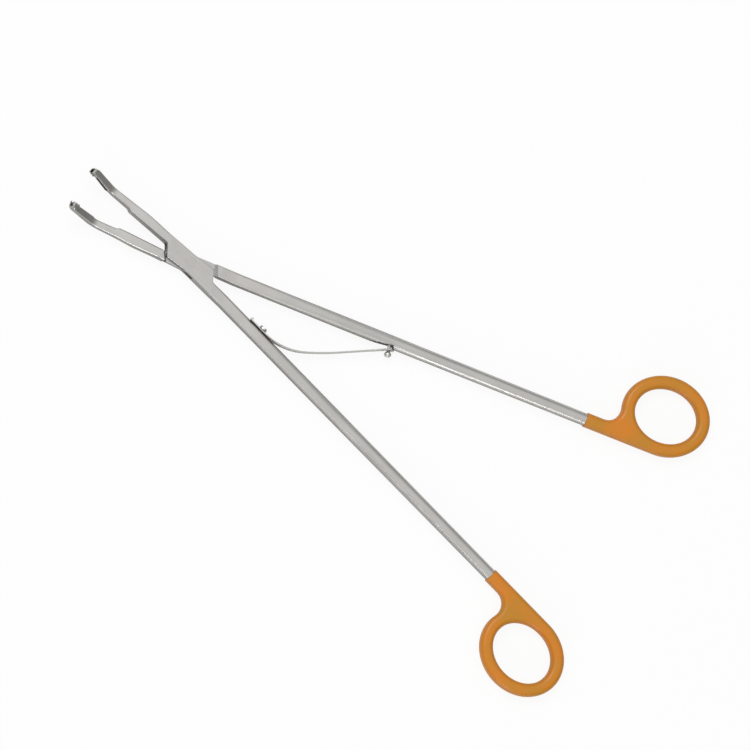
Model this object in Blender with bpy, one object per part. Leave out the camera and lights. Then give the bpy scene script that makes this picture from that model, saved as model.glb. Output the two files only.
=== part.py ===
# Ring-handled clip applier with a box lock, angled jaws, a leaf spring and coated finger rings.
# Metres, +Z up. The origin is on the pivot axis, in the plane that the instrument lies on,
# and +X runs midway between the two shanks, from the box lock to the rings.
#
# Both levers are drawn in the closed position, where their jaws meet on the X axis: the
# box lever has its jaw at +Y and its shank at -Y. The tongue lever is drawn the same way and
# mirrored. Each is then turned by half the opening, which is how the applier lies at rest.

import math

import bmesh
import bpy
from mathutils import Matrix
from mathutils import Vector

mm = 0.001

# Opening and fits
opening_angle = math.radians(13.9)
seat_gap = 0.3 * mm          # between faces that bear on each other
running_gap = 0.08 * mm      # round a pin or a screw, on the radius
tongue_gap = 0.2 * mm        # above and below the tongue in its slot
meeting_gap = 0.12 * mm      # from each jaw to the line where they meet
overrun = 3.0 * mm           # how far a cutter reaches past what it cuts

# Box lock
box_thickness = 5.6 * mm
cheek_thickness = 1.6 * mm
waist_half_width = 3.8 * mm
box_edge_radius = 0.45 * mm
cheek_jaw_corner = Vector((-9.2, -4.5)) * mm
cheek_jaw_crotch = Vector((-11.9, -0.5)) * mm
cheek_shank_corner = Vector((9.2, 4.4)) * mm
cheek_shank_crotch = Vector((11.9, 0.1)) * mm
shoulder_distance = 12.6 * mm    # from the pivot, along the meeting line
shoulder_slant = 0.47            # how far a shoulder leans for each unit of width
tongue_root_length = 1.4 * mm    # from the shoulder, before the tongue runs to the waist
shoulder_step_width = 0.5 * mm
shoulder_step_height = 0.8 * mm
shank_blend_length = 0.6 * mm    # from the shoulder to the round shank
slot_wall_rise = 4.0 * mm
slot_wall_run = 8.3 * mm
slot_clearance = 0.1 * mm        # from the meeting line to the slot's corner
pivot_radius = 2.2 * mm

# Jaw
jaw_root_half_thickness = 2.6 * mm
jaw_mid_half_thickness = 2.15 * mm
jaw_tip_half_thickness = 1.55 * mm
jaw_edge_radius = 0.75 * mm
jaw_taper_length = 6.0 * mm      # from the box's full thickness to the jaw's
jaw_root_width = 3.85 * mm       # from the meeting line to the outer edge
jaw_belly_width = 4.4 * mm
jaw_belly_distance = 24.0 * mm
jaw_neck_width = 3.65 * mm
jaw_tip_width = 3.45 * mm
land_setback = 0.8 * mm          # narrow part's inner edge, from the meeting line
land_step_distance = 32.2 * mm
land_step_length = 2.0 * mm

# Raised tip, with its clip channel and teeth
bend_distance = 41.0 * mm
bend_length = 4.0 * mm
bend_angle = math.radians(29.0)
tip_length = 12.3 * mm
tip_extra_angle = math.radians(5.0)
heel_setback = 0.5 * mm          # where the channel's walls start, from the meeting line
tooth_count = 3
tooth_flat = 0.15 * mm
tooth_pitch = 1.35 * mm
tooth_edge_radius = 0.3 * mm
channel_width = 1.35 * mm
channel_depth = 1.5 * mm
channel_length = 12.6 * mm

# Shank, a round bar
shank_offset = 1.02 * mm
shank_angle = math.radians(5.16)
shank_root_distance = 20.0 * mm
shank_root_radius = 2.5 * mm
shank_mid_distance = 80.0 * mm
shank_mid_radius = 2.78 * mm
shank_end_radius = 2.6 * mm
round_share = 0.9                # corner radius of a round section, of its half width
squared_share = 0.2              # the same at the shank's root, which is squared off

# Finger ring and its coat
coat_start = 176.8 * mm          # along the shank, from the pivot
coat_proud = 0.35 * mm
coat_wall = 0.6 * mm
coat_edge_radius = 2.2 * mm
ring_neck_length = 31.4 * mm     # from there to the ring's centre
ring_distance = coat_start + ring_neck_length
ring_offset = 13.6 * mm
ring_twist = math.radians(1.2)
ring_hole_long = 13.45 * mm      # half the hole's length
ring_hole_short = 11.05 * mm
ring_band = 5.5 * mm
ring_fillet = 6.0 * mm
core_root_length = 4.0 * mm      # of the core's neck, sunk in the shank

# Leaf spring on the box lever's shank
spring_start = 34.0 * mm         # along the shank
spring_seat_length = 6.9 * mm
spring_seat_depth = 0.25 * mm    # of the flat on the shank
spring_flat_margin = 1.0 * mm    # of the flat, before the strip starts
spring_flat_length = 13.0 * mm
spring_thickness = 0.6 * mm
spring_width = 3.8 * mm
spring_waist_width = 3.2 * mm
spring_tab_width = 4.0 * mm
spring_lip_height = 0.7 * mm
spring_lip_radius = 0.5 * mm
spring_bow_length = 19.4 * mm
spring_bow_angle = math.radians(42.1)
spring_reach_length = 14.8 * mm
spring_reach_angle = math.radians(7.1)
spring_end_length = 19.2 * mm
spring_tab_length = 6.5 * mm     # of the wider end, before its curl
spring_curl_length = 3.4 * mm
spring_curl_angle = math.radians(-34.0)
spring_end_share = 0.35          # blunt end's half width, of the tab's
spring_slot_width = 1.9 * mm
spring_slot_behind = 6.5 * mm    # room for the stud as the shanks close
spring_slot_ahead = 1.3 * mm

# Spring screw
screw_distance = 40.2 * mm
screw_radius = 0.9 * mm
screw_depth = 2.2 * mm
screw_head_radius = 1.75 * mm
screw_head_height = 1.1 * mm
screw_chamfer = 0.2 * mm
screw_slot_width = 0.9 * mm
screw_slot_depth = 0.6 * mm

# Guide stud and its pocket in the tongue lever's shank
pocket_start = 81.2 * mm
pocket_length = 9.6 * mm
pocket_angle = math.radians(7.8)
pocket_end_slant = math.radians(30.0)
stud_distance = 89.6 * mm
stud_radius = 0.65 * mm
stud_root_radius = 0.8 * mm
stud_root_depth = 1.6 * mm
stud_step_height = 0.1 * mm
stud_neck_length = 2.6 * mm
stud_head_radius = 1.5 * mm
stud_head_height = 2.3 * mm
stud_head_profile = [(0.72, 0.15), (1.0, 0.45), (0.96, 0.75), (0.7, 0.95), (0.3, 1.0)]

# Facets
corner_steps = 4
tip_steps = 4
channel_steps = 7
shank_steps = 12
ring_steps = 30
fillet_steps = 9
slot_end_steps = 8
round_steps = 32
small_round_steps = 16

mid_height = box_thickness / 2
slot_height = box_thickness - 2 * cheek_thickness
tongue_half = slot_height / 2 - tongue_gap
tip_end = bend_distance + bend_length + tip_length
half_opening = opening_angle / 2


def clear_scene():
    for item in list(bpy.data.objects):
        bpy.data.objects.remove(item, do_unlink=True)


def make_collection(name):
    collection = bpy.data.collections.new(name)
    bpy.context.scene.collection.children.link(collection)
    return collection


def make_material(name, colour, roughness, metallic):
    material = bpy.data.materials.new(name)
    material.use_nodes = True
    shader = material.node_tree.nodes["Principled BSDF"]
    shader.inputs["Base Color"].default_value = (*colour, 1.0)
    shader.inputs["Roughness"].default_value = roughness
    shader.inputs["Metallic"].default_value = metallic
    material.diffuse_color = (*colour, 1.0)
    return material


def object_from_bmesh(name, shape, collection):
    bmesh.ops.recalc_face_normals(shape, faces=shape.faces)
    mesh = bpy.data.meshes.new(name)
    shape.to_mesh(mesh)
    shape.free()
    item = bpy.data.objects.new(name, mesh)
    collection.objects.link(item)
    return item


def evaluated_mesh(item):
    depsgraph = bpy.context.evaluated_depsgraph_get()
    return bpy.data.meshes.new_from_object(item.evaluated_get(depsgraph))


def combine(target, tool, operation):
    """Boolean of two objects, applied at once; the tool is removed."""
    modifier = target.modifiers.new(operation.lower(), "BOOLEAN")
    modifier.operation = operation
    modifier.object = tool
    bpy.context.view_layer.update()
    mesh = evaluated_mesh(target)
    target.modifiers.remove(modifier)
    old_mesh = target.data
    target.data = mesh
    bpy.data.meshes.remove(old_mesh)
    bpy.data.objects.remove(tool, do_unlink=True)


def finish(item, material, collection):
    """Weld, shade and file a finished piece."""
    shape = bmesh.new()
    shape.from_mesh(item.data)
    bmesh.ops.remove_doubles(shape, verts=shape.verts, dist=0.002 * mm)
    shape.to_mesh(item.data)
    shape.free()
    item.data.shade_smooth()
    item.data.set_sharp_from_angle(angle=math.radians(35))
    item.data.materials.clear()
    item.data.materials.append(material)
    for holder in list(item.users_collection):
        holder.objects.unlink(item)
    collection.objects.link(item)
    return item


# Sections and lofts

def rounded_section(low, high, half_height, radius):
    """Corners of a rounded rectangle, as (across, up) pairs."""
    radius = min(radius, round_share * half_height, round_share * (high - low) / 2)
    points = []
    corners = ((high, 1, 0), (low, 1, 90), (low, -1, 180), (high, -1, 270))
    for across, side, start in corners:
        centre_across = across - radius if across == high else across + radius
        centre_up = side * (half_height - radius)
        for step in range(corner_steps + 1):
            angle = math.radians(start + 90 * step / corner_steps)
            points.append((centre_across + radius * math.cos(angle), centre_up + radius * math.sin(angle)))
    return points


def plain_section(low, high, half_height):
    return [(high, half_height), (low, half_height), (low, -half_height), (high, -half_height)]


def loft(name, rings, collection):
    """Closed skin over rings of points, with a flat cap at each end."""
    shape = bmesh.new()
    rows = [[shape.verts.new(point) for point in ring] for ring in rings]
    count = len(rows[0])
    for first, second in zip(rows, rows[1:]):
        for index in range(count):
            following = (index + 1) % count
            shape.faces.new((first[index], first[following], second[following], second[index]))
    shape.faces.new(rows[0][::-1])
    shape.faces.new(rows[-1])
    return object_from_bmesh(name, shape, collection)


def prism(name, outline, bottom, top, collection):
    """Straight-sided solid over an outline in the XY plane."""
    rings = [[(x, y, height) for x, y in outline] for height in (bottom, top)]
    return loft(name, rings, collection)


def turned(name, profile, base, axis, steps, collection):
    """Solid turned from (radius, height) pairs, set on base and pointing along axis."""
    turn = axis.to_track_quat("Z", "Y").to_matrix().to_4x4()
    place = Matrix.Translation(base) @ turn
    rings = []
    for radius, height in profile:
        ring = []
        for step in range(steps):
            angle = 2 * math.pi * (step + 0.5) / steps
            ring.append(place @ Vector((radius * math.cos(angle), radius * math.sin(angle), height)))
        rings.append(ring)
    return loft(name, rings, collection)


# The levers' path: straight, apart from the raised tip

def path_point(distance):
    """Position along X, height and rise at a distance from the pivot, on the jaw side."""
    if distance <= bend_distance:
        return -distance, mid_height, 0.0
    bend_radius = bend_length / bend_angle
    rise = min(distance - bend_distance, bend_length) / bend_radius
    reach = bend_distance + bend_radius * math.sin(rise)
    height = mid_height + bend_radius * (1 - math.cos(rise))
    if distance > bend_distance + bend_length:
        tip_radius = tip_length / tip_extra_angle
        further = rise + (distance - bend_distance - bend_length) / tip_radius
        reach += tip_radius * (math.sin(further) - math.sin(rise))
        height += tip_radius * (math.cos(rise) - math.cos(further))
        rise = further
    return -reach, height, rise


def jaw_ring(distance, section):
    """A section set square to the jaw's path, at a distance from the pivot."""
    along, height, rise = path_point(distance)
    points = []
    for across, up in section:
        points.append((along + up * math.sin(rise), across, height + up * math.cos(rise)))
    return points


def straight_ring(along, section):
    return [(along, across, mid_height + up) for across, up in section]


def between(value, first, second):
    """Straight line through two (place, size) pairs."""
    share = (value - first[0]) / (second[0] - first[0])
    return first[1] + share * (second[1] - first[1])


def outer_edge(distance):
    """Jaw's outer edge, from the meeting line, at a distance from the pivot."""
    keys = [
        (0.0, waist_half_width),
        (shoulder_distance, jaw_root_width),
        (jaw_belly_distance, jaw_belly_width),
        (bend_distance + bend_length / 2, jaw_neck_width),
        (tip_end, jaw_tip_width),
    ]
    for first, second in zip(keys, keys[1:]):
        if distance <= second[0]:
            return between(distance, first, second)
    return keys[-1][1]


def half_thickness(distance):
    keys = [
        (shoulder_distance, mid_height),
        (shoulder_distance + jaw_taper_length, jaw_root_half_thickness),
        (land_step_distance, jaw_mid_half_thickness),
        (tip_end, jaw_tip_half_thickness),
    ]
    if distance <= keys[0][0]:
        return mid_height
    for first, second in zip(keys, keys[1:]):
        if distance <= second[0]:
            return between(distance, first, second)
    return keys[-1][1]


def jaw_rings():
    """Jaw sections from the tip back to the box lock."""
    rings = []

    def add(distance, inner, radius=jaw_edge_radius):
        section = rounded_section(inner, outer_edge(distance), half_thickness(distance), radius)
        rings.append(jaw_ring(distance, section))

    for tooth in range(tooth_count):
        tooth_end = tip_end - tooth * tooth_pitch
        add(tooth_end, meeting_gap, tooth_edge_radius)
        add(tooth_end - tooth_flat, meeting_gap, tooth_edge_radius)
        add(tooth_end - tooth_pitch / 2 - tooth_flat / 2, land_setback, tooth_edge_radius)
    last_tooth = tip_end - tooth_count * tooth_pitch
    heel = tip_end - channel_length
    for step in range(1, tip_steps + 1):
        share = step / tip_steps
        inner = land_setback + share * (heel_setback - land_setback)
        add(last_tooth + (heel - last_tooth) * share, inner, tooth_edge_radius)
    heel_end = heel - (land_setback - heel_setback)
    for step in range(tip_steps + 1):
        add(heel_end + (bend_distance - heel_end) * step / tip_steps, land_setback)
    add(land_step_distance + land_step_length, land_setback)
    add(land_step_distance, meeting_gap)
    add(jaw_belly_distance, meeting_gap)
    add(shoulder_distance + jaw_taper_length, meeting_gap)
    return rings


def shank_rings():
    """Shank sections from the box lock out to the coat: squared at the root, then slightly barrelled."""
    rings = []
    last_place = coat_start - seat_gap
    for step in range(shank_steps + 1):
        place = shank_root_distance + (last_place - shank_root_distance) * step / shank_steps
        radius = shank_radius(place)
        wide = radius / math.cos(shank_angle)
        centre = shank_axis_y(place * math.cos(shank_angle))
        section = rounded_section(centre - wide, centre + wide, radius, corner_share(place) * radius)
        rings.append(straight_ring(place * math.cos(shank_angle), section))
    end = shank_frame() @ Vector((last_place, 0, 0))
    lean = math.tan(shank_angle)
    rings[-1] = [(end.x + (y - end.y) * lean, y, z) for x, y, z in rings[-1]]
    return rings


def corner_share(place):
    """Corner radius of the shank's section, of its half width."""
    if place > shank_mid_distance:
        return round_share
    return between(place, (shank_root_distance, squared_share), (shank_mid_distance, round_share))


def shank_axis_y(along):
    return -shank_offset / math.cos(shank_angle) - along * math.tan(shank_angle)


def shank_frame():
    """Frame whose X runs along the shank's axis and whose Y points outwards, to the ring."""
    turn = Matrix.Rotation(-shank_angle, 4, "Z")
    mirror = Matrix.Diagonal((1, -1, 1, 1))
    return turn @ Matrix.Translation((0, -shank_offset, mid_height)) @ mirror


def box_end_ring(along, low, high):
    return straight_ring(along, rounded_section(low, high, mid_height, box_edge_radius))


def shank_edges(along):
    """Outer and inner edge of the shank's root, which stays on its side of the meeting line."""
    wide = shank_root_radius / math.cos(shank_angle)
    return shank_axis_y(along) - wide, min(shank_axis_y(along) + wide, -meeting_gap)


def outer_border(along):
    """Outer border of the box on the shank side, as a negative Y, from the waist to the shank."""
    end = shoulder_distance + shank_blend_length
    return between(along, (0.0, -waist_half_width), (end, shank_edges(end)[0]))


def box_lever_rings():
    """All sections of the box lever, whose cheeks overhang the tongue on both sides."""
    rings = jaw_rings()
    rings.append(box_end_ring(-shoulder_distance, meeting_gap, outer_edge(shoulder_distance)))
    rings.append(box_end_ring(cheek_jaw_crotch.x, cheek_jaw_crotch.y, outer_edge(-cheek_jaw_crotch.x)))
    rings.append(box_end_ring(cheek_jaw_corner.x, cheek_jaw_corner.y, outer_edge(-cheek_jaw_corner.x)))
    rings.append(box_end_ring(0.0, -waist_half_width, waist_half_width))
    rings.append(box_end_ring(cheek_shank_corner.x, outer_border(cheek_shank_corner.x), cheek_shank_corner.y))
    rings.append(box_end_ring(cheek_shank_crotch.x, outer_border(cheek_shank_crotch.x), cheek_shank_crotch.y))
    end = shoulder_distance + shank_blend_length
    rings.append(box_end_ring(end, *shank_edges(end)))
    return rings + shank_rings()


def tongue_lever_rings():
    """All sections of the tongue lever, before its middle is thinned."""
    root = shoulder_distance - tongue_root_length
    rings = jaw_rings()
    rings.append(box_end_ring(-shoulder_distance, meeting_gap, outer_edge(shoulder_distance)))
    rings.append(box_end_ring(-root, meeting_gap, outer_edge(root)))
    rings.append(box_end_ring(0.0, -waist_half_width, waist_half_width))
    rings.append(box_end_ring(root, outer_border(root), -meeting_gap))
    end = shoulder_distance + shank_blend_length
    rings.append(box_end_ring(end, *shank_edges(end)))
    return rings + shank_rings()


# The finger ring's outline, used for the coat, the space inside it and the steel core

def ellipse_point(angle, inset):
    """Point of the ring's outer ellipse, in the shank's frame."""
    long_half = ring_hole_long + ring_band - inset
    short_half = ring_hole_short + ring_band - inset
    local = Vector((long_half * math.cos(angle), short_half * math.sin(angle)))
    return Vector((ring_distance, ring_offset)) + Matrix.Rotation(ring_twist, 2) @ local


def ellipse_normal(angle, inset):
    long_half = ring_hole_long + ring_band - inset
    short_half = ring_hole_short + ring_band - inset
    local = Vector((short_half * math.cos(angle), long_half * math.sin(angle))).normalized()
    return Matrix.Rotation(ring_twist, 2) @ local


def solve(function, low, high):
    """Root of a function that changes sign once, by halving."""
    low_value = function(low)
    for _ in range(40):
        middle = (low + high) / 2
        if (function(middle) > 0) == (low_value > 0):
            low = middle
        else:
            high = middle
    return (low + high) / 2


def handle_outline(inset, start):
    """Outer outline of neck, web and ring: two straight sides, a fillet and an ellipse."""
    half_neck = shank_end_radius + coat_proud - inset
    corner = Vector((coat_start, -half_neck))
    fillet = ring_fillet + inset

    def side_misses(angle):
        return (corner - ellipse_point(angle, inset)).dot(ellipse_normal(angle, inset))

    def fillet_misses(angle):
        centre = ellipse_point(angle, inset) + fillet * ellipse_normal(angle, inset)
        return centre.y - half_neck - fillet

    side_angle = solve(side_misses, math.radians(-130), math.radians(-70))
    fillet_angle = solve(fillet_misses, math.radians(100), math.radians(215))
    points = [Vector((start, -half_neck)), corner]
    for step in range(ring_steps + 1):
        share = step / ring_steps
        points.append(ellipse_point(side_angle + share * (fillet_angle - side_angle), inset))
    centre = ellipse_point(fillet_angle, inset) + fillet * ellipse_normal(fillet_angle, inset)
    toward = -ellipse_normal(fillet_angle, inset)
    start_angle = math.atan2(toward.y, toward.x)
    end_angle = -math.pi / 2
    for step in range(1, fillet_steps + 1):
        angle = start_angle + (end_angle - start_angle) * step / fillet_steps
        points.append(centre + fillet * Vector((math.cos(angle), math.sin(angle))))
    points.append(Vector((start, half_neck)))
    return points


def hole_outline(inset):
    points = []
    for step in range(ring_steps):
        angle = 2 * math.pi * step / ring_steps
        points.append(ellipse_point(angle, ring_band - inset))
    return points


def handle_solid(name, inset, start, collection):
    """Neck, web and ring as a flat outline with round edges, placed on the shank."""
    curve = bpy.data.curves.new(name, "CURVE")
    curve.dimensions = "2D"
    curve.fill_mode = "BOTH"
    round_edge = coat_edge_radius - inset
    curve.bevel_depth = round_edge
    curve.bevel_resolution = 2
    curve.offset = -round_edge
    curve.extrude = mid_height - inset - round_edge
    for outline in (handle_outline(inset, start), hole_outline(inset)):
        spline = curve.splines.new("POLY")
        spline.points.add(len(outline) - 1)
        for point, place in zip(spline.points, outline):
            point.co = (place.x, place.y, 0, 1)
        spline.use_cyclic_u = True
    flat = bpy.data.objects.new(name + "_outline", curve)
    collection.objects.link(flat)
    bpy.context.view_layer.update()
    shape = bmesh.new()
    mesh = evaluated_mesh(flat)
    shape.from_mesh(mesh)
    bpy.data.meshes.remove(mesh)
    bpy.data.objects.remove(flat, do_unlink=True)
    bpy.data.curves.remove(curve)
    bmesh.ops.remove_doubles(shape, verts=shape.verts, dist=0.005 * mm)
    bmesh.ops.transform(shape, matrix=shank_frame(), verts=shape.verts)
    return object_from_bmesh(name, shape, collection)


def trim_neck(item, place):
    """Cut the neck off square at a place along the shank, and close it with a flat face."""
    frame = shank_frame()
    origin = frame @ Vector((place, 0, 0))
    along = (frame.to_3x3() @ Vector((1, 0, 0))).normalized()
    shape = bmesh.new()
    shape.from_mesh(item.data)
    everything = shape.verts[:] + shape.edges[:] + shape.faces[:]
    bmesh.ops.bisect_plane(shape, geom=everything, plane_co=origin, plane_no=along, clear_inner=True)
    rim = [edge for edge in shape.edges if edge.is_boundary]
    bmesh.ops.edgeloop_fill(shape, edges=rim)
    bmesh.ops.recalc_face_normals(shape, faces=shape.faces)
    shape.to_mesh(item.data)
    shape.free()


# Cuts

def cut_slot(lever, cutters):
    """The through slot between the box lever's cheeks."""
    wall = Vector((slot_wall_run, slot_wall_rise))
    start = Vector((-shoulder_distance - seat_gap, meeting_gap + slot_clearance))
    far = start + 2 * wall
    side = shoulder_distance - overrun
    outline = [start - wall, far, Vector((side, far.y)), -(start - wall), -far, Vector((-side, -far.y))]
    half = slot_height / 2
    cutter = prism("slot_cutter", outline, mid_height - half, mid_height + half, cutters)
    combine(lever, cutter, "DIFFERENCE")


def cut_tongue(lever, cutters):
    """Both faces of the tongue, down to its thickness, between two slanted shoulders."""
    reach = 2 * waist_half_width + overrun
    lean = shoulder_slant * reach
    for side in (1, -1):
        for step, height in ((0.0, tongue_half + shoulder_step_height), (shoulder_step_width, tongue_half)):
            outline = [
                (-shoulder_distance - lean, -reach),
                (shoulder_distance - step - lean, -reach),
                (shoulder_distance - step + lean, reach),
                (-shoulder_distance + lean, reach),
            ]
            levels = sorted((mid_height + side * height, mid_height + side * 2 * box_thickness))
            cutter = prism("tongue_cutter", outline, levels[0], levels[1], cutters)
            combine(lever, cutter, "DIFFERENCE")


def cut_pivot_hole(lever, cutters):
    radius = pivot_radius + running_gap
    profile = [(radius, -box_thickness), (radius, 2 * box_thickness)]
    cutter = turned("pivot_cutter", profile, Vector((0, 0, 0)), Vector((0, 0, 1)), round_steps, cutters)
    combine(lever, cutter, "DIFFERENCE")


def cut_channel(lever, cutters):
    """The clip channel along the inner face of the raised tip, open at its end."""
    section = plain_section(-overrun, land_setback + channel_depth, channel_width / 2)
    rings = [jaw_ring(tip_end + overrun, section)]
    for step in range(channel_steps + 1):
        rings.append(jaw_ring(tip_end - channel_length * step / channel_steps, section))
    cutter = loft("channel_cutter", rings, cutters)
    combine(lever, cutter, "DIFFERENCE")


def shank_block(name, start, end, near, far, cutters):
    """Block beside the shank, from start to end along it; near and far are across it."""
    outline = [(start, near), (end, near), (end, far), (start, far)]
    item = prism(name, outline, -2 * box_thickness, 2 * box_thickness, cutters)
    item.data.transform(shank_frame())
    fix_winding(item)
    return item


def shank_radius(place):
    middle = (shank_mid_distance, shank_mid_radius)
    if place < shank_mid_distance:
        return between(place, (shank_root_distance, shank_root_radius), middle)
    return between(place, middle, (coat_start, shank_end_radius))


def seat_level():
    """Distance from the shank's axis to the spring's seat."""
    return shank_radius(screw_distance) - spring_seat_depth


def inward():
    """Direction from the box lever's shank towards the other shank, in the closed frame."""
    return (shank_frame().to_3x3() @ Vector((0, -1, 0))).normalized()


def shank_point(place, level):
    """Point on the shank's inner side, level away from its axis."""
    return shank_frame() @ Vector((place, -level, 0))


def cut_spring_seat(lever, cutters):
    level = -seat_level()
    start = spring_start - spring_flat_margin
    end = start + spring_flat_length
    cutter = shank_block("seat_cutter", start, end, level, level - overrun, cutters)
    combine(lever, cutter, "DIFFERENCE")
    radius = screw_radius + running_gap
    base = shank_point(screw_distance, seat_level() - screw_depth - running_gap)
    profile = [(radius, 0.0), (radius, screw_depth + overrun)]
    drill = turned("screw_drill", profile, base, inward(), small_round_steps, cutters)
    combine(lever, drill, "DIFFERENCE")


def fix_winding(item):
    shape = bmesh.new()
    shape.from_mesh(item.data)
    bmesh.ops.recalc_face_normals(shape, faces=shape.faces)
    shape.to_mesh(item.data)
    shape.free()


def pocket_frame():
    """Frame on the pocket's floor: X along the floor, Y out of it, towards the spring."""
    base = shank_point(pocket_start, shank_radius(pocket_start))
    turn = Matrix.Rotation(-shank_angle - pocket_angle, 4, "Z")
    return Matrix.Translation(base) @ turn


def cut_pocket(lever, cutters):
    """The slanted pocket in the tongue lever's shank, where the spring's end runs."""
    slant = overrun * math.tan(pocket_end_slant)
    outline = [(-overrun, 0), (pocket_length, 0), (pocket_length + slant, overrun), (-overrun, overrun)]
    cutter = prism("pocket_cutter", outline, -2 * box_thickness, 2 * box_thickness, cutters)
    cutter.data.transform(pocket_frame())
    fix_winding(cutter)
    combine(lever, cutter, "DIFFERENCE")
    base, axis = stud_place()
    radius = stud_root_radius + running_gap
    profile = [(radius, -stud_root_depth - running_gap), (radius, overrun)]
    drill = turned("stud_drill", profile, base, axis, small_round_steps, cutters)
    combine(lever, drill, "DIFFERENCE")


def stud_place():
    """Point where the stud leaves the pocket's floor, and its axis, out of the floor."""
    frame = pocket_frame()
    along = (stud_distance - pocket_start) / math.cos(pocket_angle)
    return frame @ Vector((along, 0, 0)), (frame.to_3x3() @ Vector((0, 1, 0))).normalized()


# Pieces

def settle(item, mirrored):
    """Turn a piece from the closed frame to where it lies at rest."""
    if mirrored:
        item.data.transform(Matrix.Diagonal((1, -1, 1, 1)))
        item.data.flip_normals()
        item.data.transform(Matrix.Rotation(half_opening, 4, "Z"))
    else:
        item.data.transform(Matrix.Rotation(-half_opening, 4, "Z"))
    item.data.update()


def ring_core(name, cutters):
    start = coat_start - core_root_length
    return handle_solid(name, coat_wall + seat_gap, start, cutters)


def make_lever(name, rings, cutters):
    """Jaw, box and shank as one skin, joined to the steel core of the finger ring."""
    lever = loft(name, rings, cutters)
    combine(lever, ring_core(name + "_core", cutters), "UNION")
    return lever


def make_box_lever(material, parts, cutters):
    lever = make_lever("box_lever", box_lever_rings(), cutters)
    cut_slot(lever, cutters)
    cut_pivot_hole(lever, cutters)
    cut_channel(lever, cutters)
    cut_spring_seat(lever, cutters)
    settle(lever, mirrored=False)
    return finish(lever, material, parts)


def make_tongue_lever(material, parts, cutters):
    lever = make_lever("tongue_lever", tongue_lever_rings(), cutters)
    cut_tongue(lever, cutters)
    cut_pivot_hole(lever, cutters)
    cut_channel(lever, cutters)
    cut_pocket(lever, cutters)
    settle(lever, mirrored=True)
    return finish(lever, material, parts)


def make_coat(name, material, mirrored, parts, cutters):
    """Coat over a finger ring: a thin shell that is open where the shank comes out."""
    coat = handle_solid(name, 0.0, coat_start - 2 * overrun, cutters)
    trim_neck(coat, coat_start)
    space = handle_solid(name + "_space", coat_wall, coat_start - 4 * overrun, cutters)
    combine(coat, space, "DIFFERENCE")
    settle(coat, mirrored)
    return finish(coat, material, parts)


def make_pivot_pin(material, parts, cutters):
    profile = [(pivot_radius, 0.0), (pivot_radius, box_thickness)]
    pin = turned("pivot_pin", profile, Vector((0, 0, 0)), Vector((0, 0, 1)), round_steps, cutters)
    return finish(pin, material, parts)


def spring_path():
    """Points along the strip in the closed frame, each with its heading and length so far."""
    runs = [
        (spring_lip_height, 0.0, 1),
        (spring_lip_radius * math.pi / 2, math.pi / 2, 4),
        (spring_seat_length, 0.0, 4),
        (spring_bow_length, spring_bow_angle, 14),
        (spring_reach_length, spring_reach_angle, 5),
        (spring_end_length - spring_tab_length, 0.0, 2),
        (spring_tab_length, 0.0, 4),
        (spring_curl_length, spring_curl_angle, 8),
    ]
    level = seat_level() + seat_gap + spring_thickness / 2
    place = shank_point(spring_start, level + spring_lip_radius + spring_lip_height)
    heading = -shank_angle - math.pi / 2
    travelled = 0.0
    path = [(place.copy(), heading, travelled)]
    for length, turn, steps in runs:
        for _ in range(steps):
            heading += turn / steps / 2
            place = place + Vector((math.cos(heading), math.sin(heading), 0)) * (length / steps)
            heading += turn / steps / 2
            travelled += length / steps
            path.append((place.copy(), heading, travelled))
    return path


def spring_half_width(travelled, total):
    """Half the strip's width: a plain strip, waisted in the bow, with a round tab at its end."""
    base_end = spring_seat_length + spring_lip_height
    tab_start = total - spring_curl_length - spring_tab_length
    tab_radius = spring_tab_width / 2
    if travelled <= base_end:
        return spring_width / 2
    if travelled <= tab_start:
        share = min(1.0, (travelled - base_end) / spring_bow_length)
        return (spring_width + share * (spring_waist_width - spring_width)) / 2
    if travelled <= total - tab_radius:
        full = (travelled - tab_start) / (spring_tab_length / 2)
        return (spring_waist_width + min(1.0, full) * (spring_tab_width - spring_waist_width)) / 2
    left = total - travelled
    return max(spring_end_share * tab_radius, math.sqrt(max(0.0, tab_radius ** 2 - (tab_radius - left) ** 2)))


def make_leaf_spring(material, parts, cutters):
    path = spring_path()
    total = path[-1][2]
    rings = []
    for place, heading, travelled in path:
        across = Vector((-math.sin(heading), math.cos(heading), 0)) * (spring_thickness / 2)
        up = Vector((0, 0, spring_half_width(travelled, total)))
        rings.append([place + across + up, place - across + up, place - across - up, place + across - up])
    spring = loft("leaf_spring", rings, cutters)

    radius = screw_radius + running_gap
    base = shank_point(screw_distance, seat_level())
    profile = [(radius, 0.0), (radius, overrun)]
    drill = turned("spring_drill", profile, base, inward(), small_round_steps, cutters)
    combine(spring, drill, "DIFFERENCE")

    place, heading = stud_crossing(path)
    half = spring_slot_width / 2
    back = -spring_slot_behind + half
    ahead = spring_slot_ahead - half
    outline = []
    for centre, start in ((ahead, -90), (back, 90)):
        for step in range(slot_end_steps + 1):
            angle = math.radians(start + 180 * step / slot_end_steps)
            outline.append((centre + half * math.cos(angle), half * math.sin(angle)))
    cutter = prism("spring_slot_cutter", outline, -overrun, overrun, cutters)
    stand = Matrix.Rotation(math.pi / 2, 4, "X")
    cutter.data.transform(Matrix.Translation(place) @ Matrix.Rotation(heading, 4, "Z") @ stand)
    fix_winding(cutter)
    combine(spring, cutter, "DIFFERENCE")
    settle(spring, mirrored=False)
    return finish(spring, material, parts)


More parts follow.
